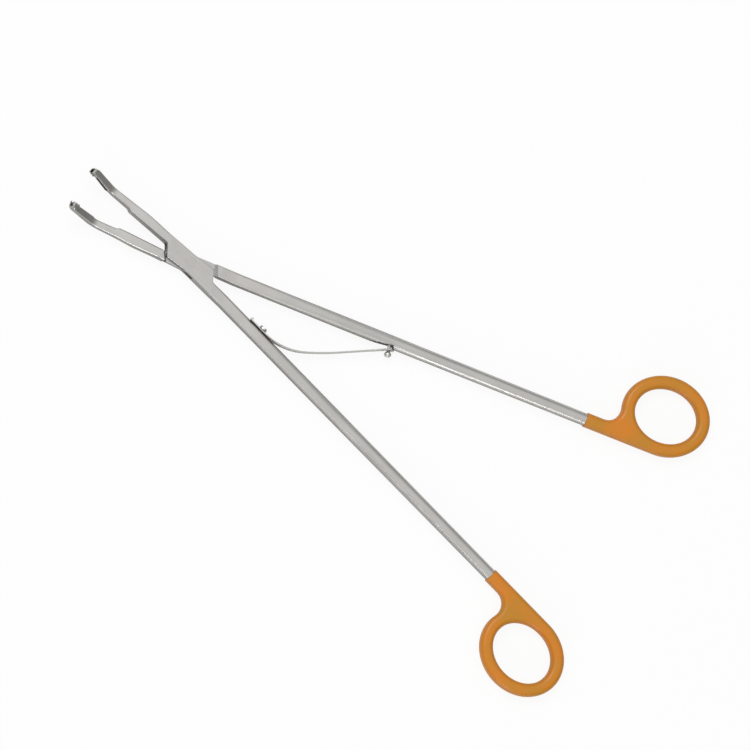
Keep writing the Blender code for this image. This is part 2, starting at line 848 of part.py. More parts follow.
def stud_crossing(path):
    """Where the stud's axis crosses the strip at rest, in the box lever's closed frame."""
    base, axis = stud_place()
    to_rest = Matrix.Rotation(half_opening, 4, "Z") @ Matrix.Diagonal((1, -1, 1, 1))
    to_box_frame = Matrix.Rotation(half_opening, 4, "Z") @ to_rest
    base = to_box_frame @ base
    axis = to_box_frame.to_3x3() @ axis
    best = min(path, key=lambda item: abs((item[0] - base).cross(axis).z))
    place, heading, _ = best
    direction = Vector((math.cos(heading), math.sin(heading), 0))
    offset = (place - base).cross(axis).z
    return place - direction * (offset / direction.cross(axis).z), heading


def make_spring_screw(material, parts, cutters):
    """Cheese-head screw with a straight slot, through the strip's base into the shank."""
    head_level = seat_level() + 2 * seat_gap + spring_thickness
    tail = -screw_depth - (head_level - seat_level())
    profile = [
        (screw_radius - screw_chamfer, tail),
        (screw_radius, tail + screw_chamfer),
        (screw_radius, 0.0),
        (screw_head_radius, 0.0),
        (screw_head_radius, screw_head_height - screw_chamfer),
        (screw_head_radius - screw_chamfer, screw_head_height),
    ]
    base = shank_point(screw_distance, head_level)
    screw = turned("spring_screw", profile, base, inward(), small_round_steps, cutters)
    first = screw_distance - screw_slot_width / 2
    near = -head_level - screw_head_height + screw_slot_depth
    cutter = shank_block("screw_slot_cutter", first, first + screw_slot_width, near, near - overrun, cutters)
    combine(screw, cutter, "DIFFERENCE")
    settle(screw, mirrored=False)
    return finish(screw, material, parts)


def make_guide_stud(material, parts, cutters):
    """Headed stud on the pocket's floor, standing through the spring's slot."""
    base, axis = stud_place()
    profile = [
        (stud_root_radius, -stud_root_depth),
        (stud_root_radius, 0.0),
        (stud_radius, stud_step_height),
        (stud_radius, stud_neck_length),
    ]
    for width_share, height_share in stud_head_profile:
        height = stud_neck_length + height_share * stud_head_height
        profile.append((width_share * stud_head_radius, height))
    stud = turned("guide_stud", profile, base, axis, small_round_steps, cutters)
    settle(stud, mirrored=True)
    return finish(stud, material, parts)


def build():
    clear_scene()
    parts = make_collection("clip_applier")
    cutters = make_collection("cutters")
    steel = make_material("satin_steel", (0.55, 0.53, 0.51), 0.34, 1.0)
    pin_steel = make_material("pin_steel", (0.56, 0.54, 0.52), 0.32, 1.0)
    spring_steel = make_material("spring_steel", (0.6, 0.59, 0.57), 0.28, 1.0)
    bright_steel = make_material("bright_steel", (0.6, 0.59, 0.57), 0.25, 1.0)
    coat = make_material("orange_coat", (0.58, 0.22, 0.03), 0.45, 0.0)
    make_box_lever(steel, parts, cutters)
    make_tongue_lever(steel, parts, cutters)
    make_pivot_pin(pin_steel, parts, cutters)
    make_leaf_spring(spring_steel, parts, cutters)
    make_spring_screw(bright_steel, parts, cutters)
    make_guide_stud(bright_steel, parts, cutters)
    make_coat("box_lever_ring_coat", coat, False, parts, cutters)
    make_coat("tongue_lever_ring_coat", coat, True, parts, cutters)


build()
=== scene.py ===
# Clip applier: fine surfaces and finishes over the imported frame, in a plain pale studio.
# Sizes are in millimetres and in the closed position, where the jaws meet on the X axis;
# settle() turns each finished piece to where it lies at rest, in metres.
import math

import bmesh
import bpy
import numpy as np
from mathutils import Matrix, Vector


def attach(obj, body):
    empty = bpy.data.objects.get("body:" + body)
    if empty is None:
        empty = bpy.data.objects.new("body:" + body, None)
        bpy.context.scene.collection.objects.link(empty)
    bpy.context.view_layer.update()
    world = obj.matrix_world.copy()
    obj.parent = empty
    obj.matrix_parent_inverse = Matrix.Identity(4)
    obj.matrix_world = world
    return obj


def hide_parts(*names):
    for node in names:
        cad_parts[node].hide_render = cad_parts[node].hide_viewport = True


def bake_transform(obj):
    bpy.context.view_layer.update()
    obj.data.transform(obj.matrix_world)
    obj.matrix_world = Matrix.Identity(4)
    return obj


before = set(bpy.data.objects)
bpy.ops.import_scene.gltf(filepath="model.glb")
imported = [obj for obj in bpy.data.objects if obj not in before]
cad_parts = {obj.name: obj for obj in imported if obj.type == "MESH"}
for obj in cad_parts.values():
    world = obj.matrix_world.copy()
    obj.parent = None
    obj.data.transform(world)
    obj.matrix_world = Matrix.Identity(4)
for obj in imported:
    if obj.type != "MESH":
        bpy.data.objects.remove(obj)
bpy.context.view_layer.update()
print("frame loaded:", ", ".join(sorted(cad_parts)))

mm = 0.001
halfOpening = math.radians(13.9) / 2
midHeight = 2.8          # of the levers' middle plane over the floor
meetingGap = 0.12        # from each jaw to the line where they meet
seatGap = 0.3            # between faces that bear on each other
overrun = 3.0            # how far a cutter reaches past what it cuts
roundest = 0.985         # share of a section's half size that its corners may take
weld = 0.000002          # metres within which two points are one
sliver = 0.000001        # metres below which an edge is dropped


# Shapes worked out on grids

def between(x, table):
    # straight runs through the (place, size) pairs of a table
    return np.interp(x, *zip(*table))


def softened(x, keys, radius, samples=11):
    # the same through keys in any order, with the corners rounded by averaging it over a window
    x = np.asarray(x, float)
    table = sorted(keys)
    return np.mean([between(x + radius * step, table) for step in np.linspace(-1, 1, samples)], axis=0)


def roundedSection(low, high, half, radius, steps=8):
    # rounded rectangle from low to high across and half each way up: four quarter turns, anticlockwise
    low, high, half, radius = (np.asarray(value, float)[:, None] for value in (low, high, half, radius))
    radius = np.minimum(radius, roundest * np.minimum(half, (high - low) / 2))
    turn = np.linspace(0, math.pi / 2, steps + 1)
    quarters = []
    for quarter, (side, up) in enumerate(((1, 1), (-1, 1), (-1, -1), (1, -1))):
        angle = turn + quarter * math.pi / 2
        across = (high - radius if side > 0 else low + radius) + radius * np.cos(angle)
        quarters.append(np.stack([across, up * (half - radius) + radius * np.sin(angle)], axis=-1))
    return np.concatenate(quarters, axis=1)


def gridFaces(rows, columns):
    # quads of a grid whose columns close on themselves
    row, column = np.meshgrid(np.arange(rows - 1), np.arange(columns), indexing="ij")
    following = (column + 1) % columns
    corners = [row * columns + column, row * columns + following,
               (row + 1) * columns + following, (row + 1) * columns + column]
    return np.stack(corners, axis=-1).reshape(-1, 4).tolist()


def newPiece(name, points, faces):
    mesh = bpy.data.meshes.new(name)
    mesh.from_pydata(np.asarray(points, float).reshape(-1, 3).tolist(), [], faces)
    piece = bpy.data.objects.new(name, mesh)
    bpy.context.scene.collection.objects.link(piece)
    return piece


def outward(piece):
    shape = bmesh.new()
    shape.from_mesh(piece.data)
    bmesh.ops.recalc_face_normals(shape, faces=shape.faces)
    shape.to_mesh(piece.data)
    shape.free()


def placed(piece, frameOf):
    piece.data.transform(frameOf)
    outward(piece)
    return piece


def skin(name, grid):
    # closed skin over rows of points, with a flat face over the first and the last row
    rows, columns = grid.shape[:2]
    faces = gridFaces(rows, columns)
    faces.append(list(range(columns))[::-1])
    faces.append(list(range((rows - 1) * columns, rows * columns)))
    piece = newPiece(name, grid, faces)
    outward(piece)
    return piece


def prism(name, outline, bottom, top):
    # a flat outline carried straight up from bottom to top
    outline = np.asarray(outline, float)
    grid = np.stack([np.column_stack([outline, np.full(len(outline), level)]) for level in (bottom, top)])
    return skin(name, grid)


def turned(name, profile, place, steps=48):
    # a profile of (radius, height) pairs turned about the axis of a 4 x 4 frame
    profile = np.asarray(profile, float)
    angle = np.linspace(0, 2 * math.pi, steps, endpoint=False)
    grid = np.empty((len(profile), steps, 3))
    grid[..., 0] = profile[:, :1] * np.cos(angle)
    grid[..., 1] = profile[:, :1] * np.sin(angle)
    grid[..., 2] = profile[:, 1:]
    place = np.array(place)
    return skin(name, grid @ place[:3, :3].T + place[:3, 3])


def cut(piece, cutter):
    modifier = piece.modifiers.new("cut", "BOOLEAN")
    modifier.operation = "DIFFERENCE"
    modifier.object = cutter
    bpy.context.view_layer.update()
    mesh = bpy.data.meshes.new_from_object(piece.evaluated_get(bpy.context.evaluated_depsgraph_get()))
    piece.modifiers.remove(modifier)
    piece.data = mesh
    bpy.data.objects.remove(cutter, do_unlink=True)


def addAttribute(mesh, name, values):
    mesh.attributes.new(name, "FLOAT", "POINT").data.foreach_set("value", values.astype(np.float32))


def settle(piece, mirrored):
    # from the closed drawing in millimetres to rest in metres; the tongue lever's side is mirrored
    if mirrored:
        piece.data.transform(Matrix.Diagonal((1, -1, 1, 1)))
        piece.data.flip_normals()
    turn = halfOpening if mirrored else -halfOpening
    piece.data.transform(Matrix.Scale(mm, 4) @ Matrix.Rotation(turn, 4, "Z"))


def finishPiece(piece, material, sharpDeg=32):
    shape = bmesh.new()
    shape.from_mesh(piece.data)
    bmesh.ops.remove_doubles(shape, verts=shape.verts, dist=weld)
    bmesh.ops.dissolve_degenerate(shape, edges=shape.edges, dist=sliver)
    shape.to_mesh(piece.data)
    shape.free()
    piece.data.shade_smooth()
    piece.data.set_sharp_from_angle(angle=math.radians(sharpDeg))
    piece.data.materials.clear()
    piece.data.materials.append(material)
    even = piece.modifiers.new("even shading", "WEIGHTED_NORMAL")
    even.keep_sharp = True


# Finishes

def addNode(tree, kind, place, **values):
    node = tree.nodes.new(kind)
    node.location = place
    for key, value in values.items():
        setattr(node, key, value)
    return node


def feed(tree, socket, value):
    # a number, a colour or another node's output
    if isinstance(value, bpy.types.NodeSocket):
        tree.links.new(value, socket)
    else:
        socket.default_value = value


def figured(tree, operation, place, *values):
    node = addNode(tree, "ShaderNodeMath", place, operation=operation)
    for socket, value in zip(node.inputs, values):
        feed(tree, socket, value)
    return node.outputs[0]


def mixedColour(tree, place, factor, first, second):
    node = addNode(tree, "ShaderNodeMix", place, data_type="RGBA")
    for label, value in (("Factor", factor), ("A", first), ("B", second)):
        feed(tree, node.inputs[label], value)
    return node.outputs["Result"]


def mixedShader(tree, place, factor, first, second):
    node = addNode(tree, "ShaderNodeMixShader", place)
    for index, value in enumerate((factor, first, second)):
        feed(tree, node.inputs[index], value)
    return node.outputs[0]


def bumped(tree, place, height, strength, distance):
    node = addNode(tree, "ShaderNodeBump", place)
    for label, value in (("Strength", strength), ("Distance", distance), ("Height", height)):
        feed(tree, node.inputs[label], value)
    return node.outputs["Normal"]


def ranged(tree, source, place, low, high, fromLow=0.0, fromHigh=1.0):
    node = addNode(tree, "ShaderNodeMapRange", place)
    limits = {"From Min": fromLow, "From Max": fromHigh, "To Min": low, "To Max": high, "Value": source}
    for label, value in limits.items():
        feed(tree, node.inputs[label], value)
    return node.outputs["Result"]


def attribute(tree, place, name):
    return addNode(tree, "ShaderNodeAttribute", place, attribute_name=name).outputs["Fac"]


def noise(tree, vector, place, scale, stretch=(1, 1, 1), detail=3.0, roughness=0.55):
    mapping = addNode(tree, "ShaderNodeMapping", (place[0] - 200, place[1]))
    feed(tree, mapping.inputs["Scale"], stretch)
    feed(tree, mapping.inputs["Vector"], vector)
    texture = addNode(tree, "ShaderNodeTexNoise", place)
    values = {"Scale": scale, "Detail": detail, "Roughness": roughness, "Vector": mapping.outputs["Vector"]}
    for label, value in values.items():
        feed(tree, texture.inputs[label], value)
    return texture.outputs["Fac"]


brush = {
    "fine": (260, 9000, 9000), "fineShare": 0.45, "streak": (90, 3000, 3000), "streakShare": (-0.1, 0.55),
    "cloud": 90.0, "cloudTone": (-0.04, 0.04), "grainTone": (0.94, 1.04), "noiseSpan": (0.3, 0.7),
    "hollowShadeTone": 0.25, "grainRoughness": (-0.05, 0.07), "depth": 0.00004,
    "facing": (0.15, 0.8), "satinRoughness": 0.25,
}


def brushedGroup():
    # satin grain along X: fine scratches, broader streaks and faint clouding; upright faces take a painted
    # side shade, and hollows a painted shade
    tree = bpy.data.node_groups.new("brushedSteel", "ShaderNodeTree")
    inputs = (
        ("Vector", "Vector", None), ("Facing", "Float", 1.0),
        ("Bright", "Color", (0.6, 0.58, 0.56, 1)), ("Side Shade", "Color", (0.4, 0.39, 0.37, 1)),
        ("Smoothness", "Float", 0.3), ("Scratch Depth", "Float", 0.2), ("Hollow Shade", "Float", 0.0))
    for label, kind, value in inputs:
        socket = tree.interface.new_socket(label, in_out="INPUT", socket_type="NodeSocket" + kind)
        if value is not None:
            socket.default_value = value
    for label, kind in (("Color", "Color"), ("Roughness", "Float"), ("Normal", "Vector")):
        tree.interface.new_socket(label, in_out="OUTPUT", socket_type="NodeSocket" + kind)
    given = addNode(tree, "NodeGroupInput", (-900, 0)).outputs
    leave = addNode(tree, "NodeGroupOutput", (900, 0)).inputs
    fine = noise(tree, given["Vector"], (-500, 300), 1.0, brush["fine"], 2.0)
    streak = noise(tree, given["Vector"], (-500, 0), 1.0, brush["streak"], 3.0)
    cloud = noise(tree, given["Vector"], (-500, -300), brush["cloud"], detail=2.0)
    streaks = ranged(tree, streak, (-400, 0), *brush["streakShare"], *brush["noiseSpan"])
    grain = figured(tree, "MULTIPLY_ADD", (-250, 150), fine, brush["fineShare"], streaks)
    # upright faces take the darker colour: a painted shade on the side walls
    sideShadedColour = mixedColour(tree, (0, 300), given["Facing"], given["Side Shade"], given["Bright"])
    tone = figured(tree, "ADD", (0, 0), ranged(tree, grain, (-100, 100), *brush["grainTone"]),
                   ranged(tree, cloud, (-100, -200), *brush["cloudTone"], *brush["noiseSpan"]))
    # hollows take a painted shade: the colour is scaled down by their mask
    unshaded = ranged(tree, given["Hollow Shade"], (100, -50), 1.0, brush["hollowShadeTone"])
    shaded = addNode(tree, "ShaderNodeVectorMath", (250, 200), operation="SCALE")
    feed(tree, shaded.inputs[0], sideShadedColour)
    feed(tree, shaded.inputs["Scale"], figured(tree, "MULTIPLY", (150, 50), tone, unshaded))
    feed(tree, leave["Color"], shaded.outputs["Vector"])
    feed(tree, leave["Roughness"], figured(tree, "ADD", (250, 0), given["Smoothness"],
                                           ranged(tree, grain, (50, -100), *brush["grainRoughness"])))
    feed(tree, leave["Normal"], bumped(tree, (400, -200), grain, given["Scratch Depth"], brush["depth"]))
    return tree


# each finish's second, darker colour is a painted shade for its upright faces
leverFinish = {"bright": (0.60, 0.585, 0.56), "sideShade": (0.31, 0.30, 0.288), "roughness": 0.3, "scratch": 0.25}
steelFinishes = {
    "boxLeverSteel": {"turnDeg": 10.5, **leverFinish},
    "tongueLeverSteel": {"turnDeg": -10.5, **leverFinish},
    "pinSteel": {
        "turnDeg": 10.5, "bright": (0.585, 0.57, 0.545), "sideShade": (0.4, 0.39, 0.37),
        "roughness": 0.31, "scratch": 0.2},
    "springSteel": {
        "turnDeg": -22.0, "bright": (0.64, 0.63, 0.60), "sideShade": (0.6, 0.59, 0.565),
        "roughness": 0.34, "scratch": 0.2},
    "screwSteel": {
        "turnDeg": 30.0, "bright": (0.68, 0.665, 0.64), "sideShade": (0.62, 0.61, 0.585),
        "roughness": 0.38, "scratch": 0.15},
}


def steelMaterial(name, finish, group):
    material = bpy.data.materials.new(name)
    material.use_nodes = True
    tree = material.node_tree
    shader = tree.nodes["Principled BSDF"]
    shader.inputs["Metallic"].default_value = 1.0
    shader.inputs["Base Color"].default_value = (*finish["bright"], 1)
    where = addNode(tree, "ShaderNodeTexCoord", (-900, 0))
    turn = addNode(tree, "ShaderNodeMapping", (-700, 100))
    feed(tree, turn.inputs["Rotation"], (0, 0, math.radians(finish["turnDeg"])))
    feed(tree, turn.inputs["Vector"], where.outputs["Object"])
    parts = addNode(tree, "ShaderNodeSeparateXYZ", (-700, -200))
    feed(tree, parts.inputs["Vector"], where.outputs["Normal"])
    upright = figured(tree, "ABSOLUTE", (-500, -200), parts.outputs["Z"])
    satin = attribute(tree, (-700, -700), "satin")
    rough = finish["roughness"], finish["roughness"] + brush["satinRoughness"]
    brushed = addNode(tree, "ShaderNodeGroup", (-300, 0), node_tree=group)
    values = {
        "Vector": turn.outputs["Vector"],
        # how far each face points up; upright faces take the painted side shade
        "Facing": ranged(tree, upright, (-500, -350), 0.0, 1.0, *brush["facing"]),
        "Bright": (*finish["bright"], 1), "Side Shade": (*finish["sideShade"], 1),
        "Smoothness": ranged(tree, satin, (-500, -700), *rough),
        # mask of the painted shade in the hollows
        "Scratch Depth": finish["scratch"], "Hollow Shade": attribute(tree, (-700, -500), "hollowShade"),
    }
    for label, value in values.items():
        feed(tree, brushed.inputs[label], value)
    for source, target in (("Color", "Base Color"), ("Roughness", "Roughness"), ("Normal", "Normal")):
        feed(tree, shader.inputs[target], brushed.outputs[source])
    return material


# the brown is a painted shade for the coat's walls and its neck's lip
coatFinish = {
    "orange": (0.710, 0.222, 0.006), "ochre": (0.570, 0.236, 0.010), "shadeBrown": (0.42, 0.150, 0.008),
    "patchScale": 75.0, "patchSpan": (0.35, 0.65), "wallShadeSpan": 0.5, "roughness": (0.32, 0.42), "ior": 1.48,
    "peelScale": 1500.0, "peelStrength": 0.08, "peelDepth": 0.0002,
}


def coatMaterial(finish):
    # baked coat: two close oranges in broad patches, browner with painted shade on its walls and lip, with a
    # fine peel
    material = bpy.data.materials.new("orangeCoat")
    material.use_nodes = True
    tree = material.node_tree
    shader = tree.nodes["Principled BSDF"]
    shader.inputs["IOR"].default_value = finish["ior"]
    where = addNode(tree, "ShaderNodeTexCoord", (-1100, 0)).outputs["Object"]
    patch = noise(tree, where, (-700, 200), finish["patchScale"], detail=2.0)
    share = ranged(tree, patch, (-500, 200), 0.0, 1.0, *finish["patchSpan"])
    blend = mixedColour(tree, (-350, 200), share, (*finish["orange"], 1), (*finish["ochre"], 1))
    # painted shade: browner on the walls and at the neck's lip, from the coat's mask
    wallShading = ranged(tree, attribute(tree, (-700, -100), "wallShade"), (-350, -100), 0.0, finish["wallShadeSpan"])
    colour = mixedColour(tree, (-150, 200), wallShading, blend, (*finish["shadeBrown"], 1))
    feed(tree, shader.inputs["Base Color"], colour)
    rough = ranged(tree, patch, (-350, -250), *finish["roughness"], *brush["noiseSpan"])
    feed(tree, shader.inputs["Roughness"], rough)
    peel = noise(tree, where, (-700, -350), finish["peelScale"], detail=1.0)
    uneven = bumped(tree, (-200, -400), peel, finish["peelStrength"], finish["peelDepth"])
    feed(tree, shader.inputs["Normal"], uneven)
    return material


brushedSteel = brushedGroup()
steels = {name: steelMaterial(name, finish, brushedSteel) for name, finish in steelFinishes.items()}
orangeCoat = coatMaterial(coatFinish)
print("finishes made:", len(steels) + 1)


# Levers

lock = {
    "halfThickness": 2.8, "waist": 3.8, "edge": 0.45, "cheek": 1.6, "tongueGap": 0.2,
    "jawCorner": (-9.2, -4.5), "jawCrotch": (-11.9, -0.5),
    "shankCorner": (9.2, 4.4), "shankCrotch": (11.9, 0.1),
    "shoulder": 12.6, "slant": 0.47, "jawSlant": 0.6, "root": 1.4, "shankBlend": 0.6,
    # 1.25 in from the shoulder the foot's ledge starts, and about there its painted hollow shade ends
    "foot": 0.6, "footSteps": 6, "footLedge": 0.6, "ledgeRise": 0.005, "hollowShade": 1.25, "crispPast": 0.6,
    "steps": ((0.0, 1.0), (0.45, 0.0)), "grooves": (0.7, 1.2), "grooveWidth": 0.22, "grooveDepth": 0.2,
    "slotRun": 8.3, "slotRise": 4.0, "slotClearance": 0.1, "pinHole": 2.205,
}
jaw = {
    "rootWidth": 3.85, "bellyWidth": 4.4, "belly": 24.0, "neckWidth": 3.65,
    "nose": ((0.0, 1.75), (0.18, 2.3), (0.5, 2.75), (1.0, 3.12), (1.7, 3.35), (2.4, 3.45)),
    "noseHalf": ((0.0, 1.22), (0.25, 1.42), (0.7, 1.53), (1.2, 1.55)), "noseLength": 4.5,
    "rootHalf": 2.6, "midHalf": 2.15, "taper": 6.0,
    "edge": 0.75, "bendEdge": 0.6, "tipEdge": 0.4, "noseEdge": 0.5,
    "land": 0.8, "heel": 0.5, "step": 32.2, "stepLength": 1.2,
    "bend": 41.0, "bendLength": 4.0, "bendDeg": 29.0, "tipLength": 12.3, "tipDeg": 5.0, "bendSoft": 0.4,
    "teeth": 3, "toothPitch": 1.35, "toothFlat": 0.06,
    "channelWidth": 1.5, "channelDepth": 1.6, "channelLength": 12.6, "channelCorner": 0.55,
    "bow": 0.5, "bowPlace": 42.0, "bowSpread": 8.0,
}
shank = {
    "offset": 1.02, "angle": math.radians(5.16), "root": 20.0, "rootRadius": 2.5,
    "middle": 80.0, "middleRadius": 2.78, "end": 176.8, "endRadius": 2.6, "hidden": 2.5,
    "rootEdge": 1.1, "edges": ((32.0, 1.5), (45.0, 1.9), (60.0, 2.2), (75.0, 2.6)),
}
tipEnd = jaw["bend"] + jaw["bendLength"] + jaw["tipLength"]
sectionRuns = (          # where a run of sections starts, below 0 on the jaw, and the space between them
    (-tipEnd, 0.07), (-tipEnd + jaw["noseLength"], 0.3), (-36, 0.2), (-30, 0.5),
    (-13.5, 0.12), (13.8, 0.4), (30, 2.0))
cornerSoftness = (       # how far the outline's corners are rounded, by distance from the pivot
    (8, 1.6), (9, 0.3), (9.6, 0.3), (11, 0.4), (11.8, 0.4), (12.8, 0.25), (13.6, 0.3), (14.5, 0.6), (29, 0.6),
    (31, 0.3), (36, 0.3), (38, 0.6), (tipEnd - 4.6, 0.4), (tipEnd - 4.4, 0.05))
outerSoftness = (        # the same on the jaw's outer edge
    (-tipEnd, 0.02), (-tipEnd + 3, 0.4), (-jaw["bend"], 2.0), (-30, 3.0), (-14, 1.0), (-13, 0))

# the jaw's path: its rise at each distance from the pivot, summed to its reach and height
pathStep = 0.02
pathDistance = np.arange(0, tipEnd + 2 * overrun, pathStep)
fullRise = math.radians(jaw["bendDeg"] + jaw["tipDeg"])
pathRise = softened(pathDistance, [
    (jaw["bend"], 0.0), (jaw["bend"] + jaw["bendLength"], math.radians(jaw["bendDeg"])),
    (tipEnd, fullRise), (tipEnd + 4 * overrun, fullRise)], jaw["bendSoft"])
pathReach = np.concatenate([[0], np.cumsum(np.cos(pathRise[:-1])) * pathStep])
pathHeight = midHeight + np.concatenate([[0], np.cumsum(np.sin(pathRise[:-1])) * pathStep])


def alongPath(places, section):
    # sections set square to the lever's path; places below 0 are distances along the jaw
    distance = np.maximum(-places, 0)
    rise = np.interp(distance, pathDistance, pathRise)[:, None]
    reach = np.where(places > 0, places, -np.interp(distance, pathDistance, pathReach))
    grid = np.empty(section.shape[:2] + (3,))
    grid[..., 0] = reach[:, None] + section[..., 1] * np.sin(rise)
    grid[..., 1] = section[..., 0]
    grid[..., 2] = np.interp(distance, pathDistance, pathHeight)[:, None] + section[..., 1] * np.cos(rise)
    return grid


def shankCentre(x):
    # a straight line that runs off from the X axis at the shank's angle
    return -shank["offset"] / math.cos(shank["angle"]) - x * math.tan(shank["angle"])


def shankRadius(x):
    # straight runs between the radii at the root, the middle and the end
    return between(x, [(shank[place], shank[place + "Radius"]) for place in ("root", "middle", "end")])


def innerKeys():
    # inner edge of the jaw: teeth at the tip, the land beside the channel, its heel, and the step
    keys = []
    for tooth in range(jaw["teeth"]):
        end = tipEnd - tooth * jaw["toothPitch"]
        notch = end - jaw["toothPitch"] / 2 - jaw["toothFlat"] / 2
        keys += [(-end, meetingGap), (-end + jaw["toothFlat"], meetingGap), (-notch, jaw["land"])]
    heel = tipEnd - jaw["channelLength"]
    keys += [(-heel, jaw["heel"]), (-heel + jaw["land"] - jaw["heel"], jaw["land"])]
    keys += [(-jaw["step"] - jaw["stepLength"], jaw["land"]), (-jaw["step"], meetingGap)]
    return keys


def outerKeys():
    # outer edge of the jaw: the round of the nose, then its width at the bend, belly, root and waist
    return [(-tipEnd + place, width) for place, width in jaw["nose"]] + [
        (-jaw["bend"] - jaw["bendLength"] / 2, jaw["neckWidth"]), (-jaw["belly"], jaw["bellyWidth"]),
        (-lock["shoulder"], jaw["rootWidth"]), (0, lock["waist"])]


def leverGrid(tongue):
    # every section of one lever, from its tip to inside the coat
    stops = [start for start, _ in sectionRuns[1:]] + [shank["end"] + shank["hidden"]]
    places = np.concatenate([
        np.arange(start, stop, space) for (start, space), stop in zip(sectionRuns, stops)])
    end = lock["shoulder"] + lock["shankBlend"]
    wide = shankRadius(shank["root"]) / math.cos(shank["angle"])
    border = (end, shankCentre(end) - wide)
    root = lock["shoulder"] - lock["root"]
    beyond = np.linspace(shank["root"], shank["end"] + shank["hidden"], 40)
    beyondWide = shankRadius(beyond) / math.cos(shank["angle"])
    low, high = innerKeys(), outerKeys()
    if tongue:
        low += [(-root, meetingGap), (0, -lock["waist"]), border]
        high += [(root, -meetingGap), (end, -meetingGap)]
    else:
        low += [(-lock["shoulder"], meetingGap), lock["jawCrotch"], lock["jawCorner"]]
        low += [(0, -lock["waist"]), border]
        high += [lock["shankCorner"], lock["shankCrotch"], (end, -meetingGap)]
    low += list(zip(beyond, shankCentre(beyond) - beyondWide))
    high += list(zip(beyond, shankCentre(beyond) + beyondWide))
    soft = between(np.abs(places), cornerSoftness)
    outerSoft = between(places, outerSoftness) + np.where(places > outerSoftness[-1][0], soft, 0)
    bow = jaw["bow"] * np.exp(-((places + jaw["bowPlace"]) / jaw["bowSpread"]) ** 2) if tongue else 0.0
    # thickness, crisp at the nose and at the lock
    crisp = (np.abs(places) < end + lock["crispPast"]) | (places < -tipEnd + jaw["noseLength"])
    half = softened(places, [(-tipEnd + place, width) for place, width in jaw["noseHalf"]] + [
        (-jaw["step"], jaw["midHalf"]), (-lock["shoulder"] - jaw["taper"], jaw["rootHalf"]),
        (-lock["shoulder"], lock["halfThickness"]), (end, lock["halfThickness"]),
        *zip(beyond, shankRadius(beyond))], np.where(crisp, 0.05, 1.0))
    # radius of each section's corners
    radius = softened(places, [
        (-tipEnd, jaw["noseEdge"]), (-tipEnd + 4, jaw["tipEdge"]), (-jaw["bend"], jaw["bendEdge"]),
        (-jaw["belly"], jaw["edge"]), (-lock["shoulder"] - 1, jaw["edge"]),
        (-lock["shoulder"], lock["edge"]), (end, lock["edge"]),
        (shank["root"], shank["rootEdge"]), *shank["edges"], (shank["middle"], shank["middleRadius"]),
        (shank["end"] + 5, shank["endRadius"])], 0.3)
    edges = bow + softened(places, low, soft), bow + softened(places, high, outerSoft)
    return alongPath(places, roundedSection(*edges, half, radius))


def slotCutter():
    # the slot that the tongue turns in: a slanted wall, and the same wall turned half round the pivot
    wall = np.array([lock["slotRun"], lock["slotRise"]])
    start = np.array([-lock["shoulder"] - seatGap, meetingGap + lock["slotClearance"]])
    far = start + 2 * wall
    side = lock["shoulder"] - overrun
    outline = [start - wall, far, (side, far[1]), wall - start, -far, (-side, -far[1])]
    half = lock["halfThickness"] - lock["cheek"]
    return prism("slotCutter", outline, midHeight - half, midHeight + half)


def slantedBand(low, high, lowSlant, highSlant):
    # four corners between two slanted lines that cross the X axis at low and high
    reach = 2 * lock["waist"] + overrun
    return [(low - lowSlant * reach, -reach), (high - highSlant * reach, -reach),
            (high + highSlant * reach, reach), (low + lowSlant * reach, reach)]


def tongueCutters():
    # each face down to the tongue: a hollow at the foot of the jaw's shoulder,
    # and one low step and two fine grooves at the foot of the shank's
    shoulder, slant = lock["shoulder"], lock["slant"]
    tongueHalf = lock["halfThickness"] - lock["cheek"] - lock["tongueGap"]
    turn = np.linspace(0, math.pi / 2, lock["footSteps"] + 1)
    foot = np.concatenate([
        [lock["hollowShade"] + lock["footLedge"], lock["hollowShade"]], lock["foot"] * (1 - np.sin(turn)), [0]])
    for side in (1, -1):
        for step, height in lock["steps"]:
            rise = tongueHalf + height
            hollow = rise + 2 * lock["ledgeRise"] + lock["foot"] * (1 - np.cos(turn))
            levels = np.concatenate([[rise, rise + lock["ledgeRise"]], hollow, [4 * lock["halfThickness"]]])
            rows = [[(x, y, midHeight + side * level)
                     for x, y in slantedBand(-shoulder + inset, shoulder - step, lock["jawSlant"], slant)]
                    for inset, level in zip(foot, levels)]
            yield skin("tongueCutter", np.array(rows))
        for near in lock["grooves"]:
            outline = slantedBand(shoulder - (near + lock["grooveWidth"]), shoulder - near, slant, slant)
            levels = (tongueHalf - lock["grooveDepth"], tongueHalf + 1)
            yield prism("grooveCutter", outline, *sorted(midHeight + side * level for level in levels))


def channelCutter():
    places = -np.concatenate([[tipEnd + overrun], np.linspace(tipEnd, tipEnd - jaw["channelLength"], 30)])
    sizes = -overrun, jaw["land"] + jaw["channelDepth"], jaw["channelWidth"] / 2, jaw["channelCorner"]
    section = roundedSection(*(np.full(len(places), size) for size in sizes), 6)
    return skin("channelCutter", alongPath(places, section))


def alongShank(place, level):
    # frame on the shank's inner side: X along the shank, Z inwards, level from its axis
    across = level - shank["offset"]
    stand = Matrix(((1, 0, 0, place), (0, 0, 1, across), (0, -1, 0, midHeight), (0, 0, 0, 1)))
    return Matrix.Rotation(-shank["angle"], 4, "Z") @ stand


def boxCutter(name, frameOf, low, high):
    # block between two corners of a frame
    outline = [(low[0], low[1]), (high[0], low[1]), (high[0], high[1]), (low[0], high[1])]
    return placed(prism(name, outline, low[2], high[2]), frameOf)


# how far the painted hollow shade starts inside its hollow, and how far it reaches past or into the faces
# round it
shadeReach = {
    "footStart": 0.05, "footPast": 0.1, "footRim": 0.5, "pocketStart": 0.5, "touch": 0.02,
    "seatPast": 0.5, "seatDepth": 0.75, "channelStart": 0.4, "channelPast": 0.1,
}
satinFade = (8, 22)      # past the shank's middle, where its satin starts to go and is gone


